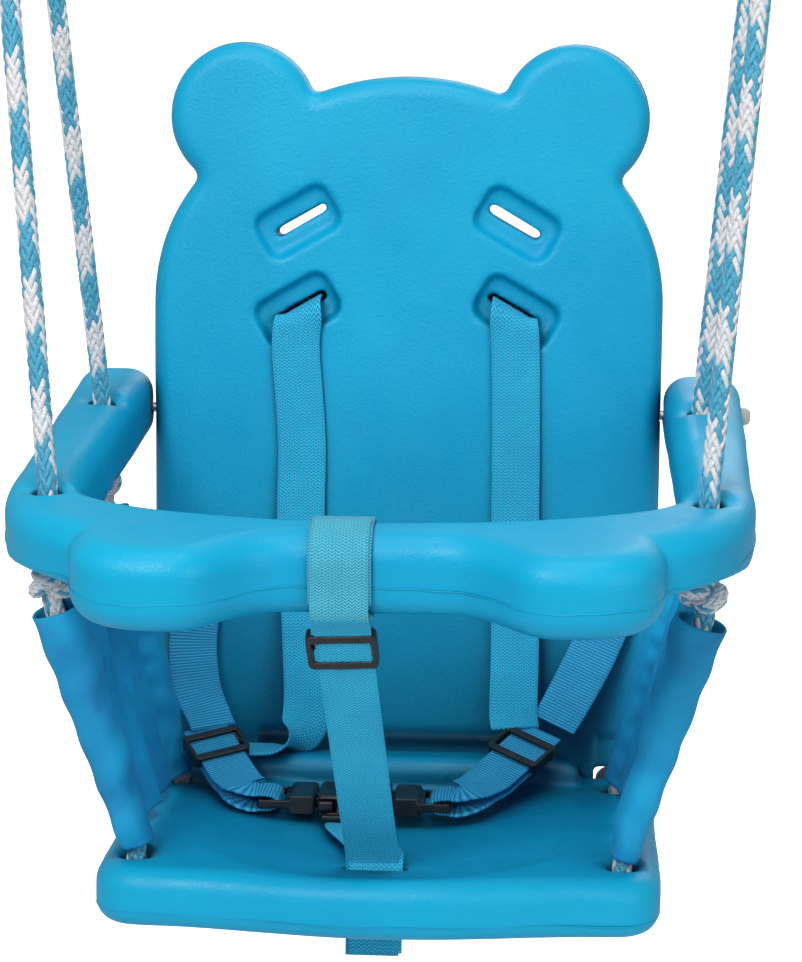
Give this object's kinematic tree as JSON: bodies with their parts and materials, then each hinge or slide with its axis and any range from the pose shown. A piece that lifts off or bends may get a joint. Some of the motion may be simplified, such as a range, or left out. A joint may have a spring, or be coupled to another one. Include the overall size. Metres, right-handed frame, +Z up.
{
  "type": "toddler bucket swing",
  "caption": "Rope-hung toddler swing seat with an eared moulded backrest, hinged guard ring, fabric sides and a buckled harness.",
  "frame": {"origin": "bottom centre of the bounding box at rest, under the middle of the seat", "axes": "+Z up, +X to the right seen from the front, +Y towards the backrest"},
  "size_m": [0.4804, 0.424, 0.9845],
  "materials": {
    "moulded_plastic": "matte grained",
    "webbing": "woven",
    "side_fabric": "fine woven",
    "braided_rope": "braided",
    "black_plastic": "satin",
    "pale_nylon": "satin",
    "zinc_steel": "zinc plated"
  },
  "bodies": {
    "hangers": {"hanger_bush_left": "pale_nylon", "hanger_bush_right": "pale_nylon"},
    "seat": {"seat_pan": "moulded_plastic", "backrest": "moulded_plastic", "rope_left": "braided_rope", "rope_right": "braided_rope", "thimble_left": "black_plastic", "thimble_right": "black_plastic", "side_panel_left": "side_fabric", "side_panel_right": "side_fabric", "shoulder_strap_left": "webbing", "shoulder_strap_right": "webbing", "waist_strap_left": "webbing", "waist_strap_right": "webbing", "lap_web_left": "webbing", "lap_web_right": "webbing", "crotch_strap": "webbing", "crotch_stay": "webbing", "buckle_hub": "black_plastic", "harness_stops": "black_plastic", "pivot_pin_caps": "pale_nylon", "guard_pivot_pins": "zinc_steel", "seat_pivot_pins": "zinc_steel"},
    "guard": {"guard_ring": "moulded_plastic", "crotch_loop": "webbing"},
    "crotch_glide": {"crotch_tri_glide": "black_plastic"},
    "left_glide": {"tri_glide_left": "black_plastic"},
    "right_glide": {"tri_glide_right": "black_plastic"},
    "left_tongue": {"buckle_tongue_left": "black_plastic"},
    "right_tongue": {"buckle_tongue_right": "black_plastic"},
    "left_prong_front": {"buckle_prong_left_front": "black_plastic"},
    "left_prong_rear": {"buckle_prong_left_rear": "black_plastic"},
    "right_prong_front": {"buckle_prong_right_front": "black_plastic"},
    "right_prong_rear": {"buckle_prong_right_rear": "black_plastic"}
  },
  "joints": [
    {"name": "swing", "type": "hinge", "parent": "hangers", "child": "seat", "pos_m": [0, 0.05408, 0.95855], "axis": [1, 0, 0], "range_deg": [-40, 40]},
    {"name": "guard_lift", "type": "hinge", "parent": "seat", "child": "guard", "pos_m": [0, 0.16508, 0.27455], "axis": [-1, 0, 0], "range_deg": [0, 18], "deforming": ["rope_left", "rope_right"]},
    {"name": "crotch_adjust", "type": "slide", "parent": "guard", "child": "crotch_glide", "axis": [0.0546, 0.4503, -0.8912], "range_m": [0, 0.03]},
    {"name": "left_adjust", "type": "slide", "parent": "seat", "child": "left_glide", "axis": [0.4876, -0.818, -0.305], "range_m": [0, 0.014]},
    {"name": "right_adjust", "type": "slide", "parent": "seat", "child": "right_glide", "axis": [-0.5853, -0.7606, -0.2809], "range_m": [0, 0.014]},
    {"name": "left_tongue_release", "type": "slide", "parent": "seat", "child": "left_tongue", "axis": [-1, 0, 0], "range_m": [0, 0.02], "deforming": ["lap_web_left"]},
    {"name": "right_tongue_release", "type": "slide", "parent": "seat", "child": "right_tongue", "axis": [1, 0, 0], "range_m": [0, 0.02], "deforming": ["lap_web_right"]},
    {"name": "left_prong_front_squeeze", "type": "hinge", "parent": "left_tongue", "child": "left_prong_front", "pos_m": [-0.0447, 0.01391, 0.07097], "axis": [0, 0.1478, 0.989], "range_deg": [0, 8], "stiffness_Nm_per_rad": 0.02},
    {"name": "left_prong_rear_squeeze", "type": "hinge", "parent": "left_tongue", "child": "left_prong_rear", "pos_m": [-0.0447, 0.03606, 0.06766], "axis": [0, 0.1478, 0.989], "range_deg": [-8, 0], "stiffness_Nm_per_rad": 0.02},
    {"name": "right_prong_front_squeeze", "type": "hinge", "parent": "right_tongue", "child": "right_prong_front", "pos_m": [0.0007, 0.01391, 0.07097], "axis": [0, 0.1478, 0.989], "range_deg": [-8, 0], "stiffness_Nm_per_rad": 0.02},
    {"name": "right_prong_rear_squeeze", "type": "hinge", "parent": "right_tongue", "child": "right_prong_rear", "pos_m": [0.0007, 0.03606, 0.06766], "axis": [0, 0.1478, 0.989], "range_deg": [0, 8], "stiffness_Nm_per_rad": 0.02}
  ],
  "couplings": [
    {"joint": "left_prong_rear_squeeze", "follows": "left_prong_front_squeeze", "ratio": -1},
    {"joint": "right_prong_rear_squeeze", "follows": "right_prong_front_squeeze", "ratio": -1}
  ]
}
